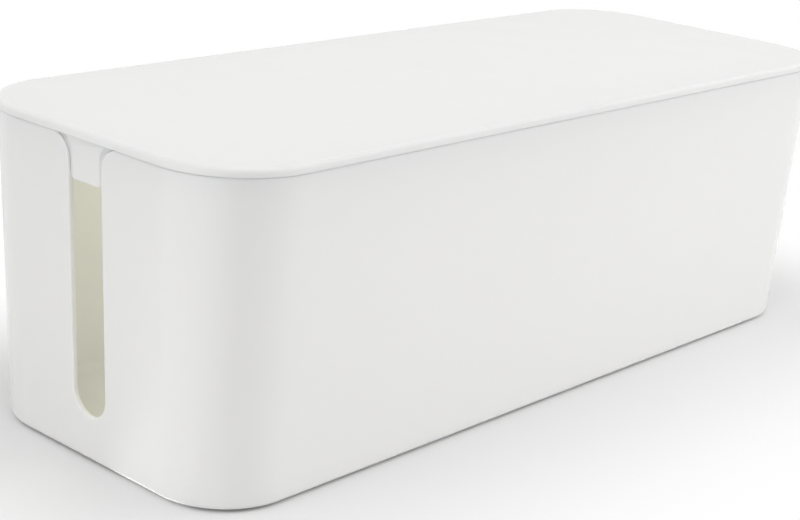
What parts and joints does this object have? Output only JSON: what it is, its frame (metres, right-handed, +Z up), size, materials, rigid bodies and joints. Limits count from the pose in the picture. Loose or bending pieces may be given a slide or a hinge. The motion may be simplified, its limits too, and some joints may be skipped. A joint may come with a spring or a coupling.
{
  "type": "cable management box",
  "caption": "Long rounded box with a lift-off lid that hides a power strip, with a flared cable slot at each short end and rubber feet.",
  "frame": {"origin": "on the surface that the box stands on, below the middle of the box", "axes": "+X along the length, towards the right-hand end; +Y to the back, away from the long face that the picture shows; +Z up, the way the lid lifts"},
  "size_m": [0.407, 0.157, 0.1335],
  "materials": {
    "white_plastic": "satin",
    "foot_rubber": "matte"
  },
  "bodies": {
    "box_base": {"tub": "white_plastic", "foot_front_left": "foot_rubber", "foot_front_right": "foot_rubber", "foot_back_left": "foot_rubber", "foot_back_right": "foot_rubber"},
    "lid": {"lid": "white_plastic"}
  },
  "joints": [
    {"name": "lid_lift", "type": "slide", "parent": "box_base", "child": "lid", "axis": [0, 0, 1], "range_m": [0, 0.15]}
  ]
}
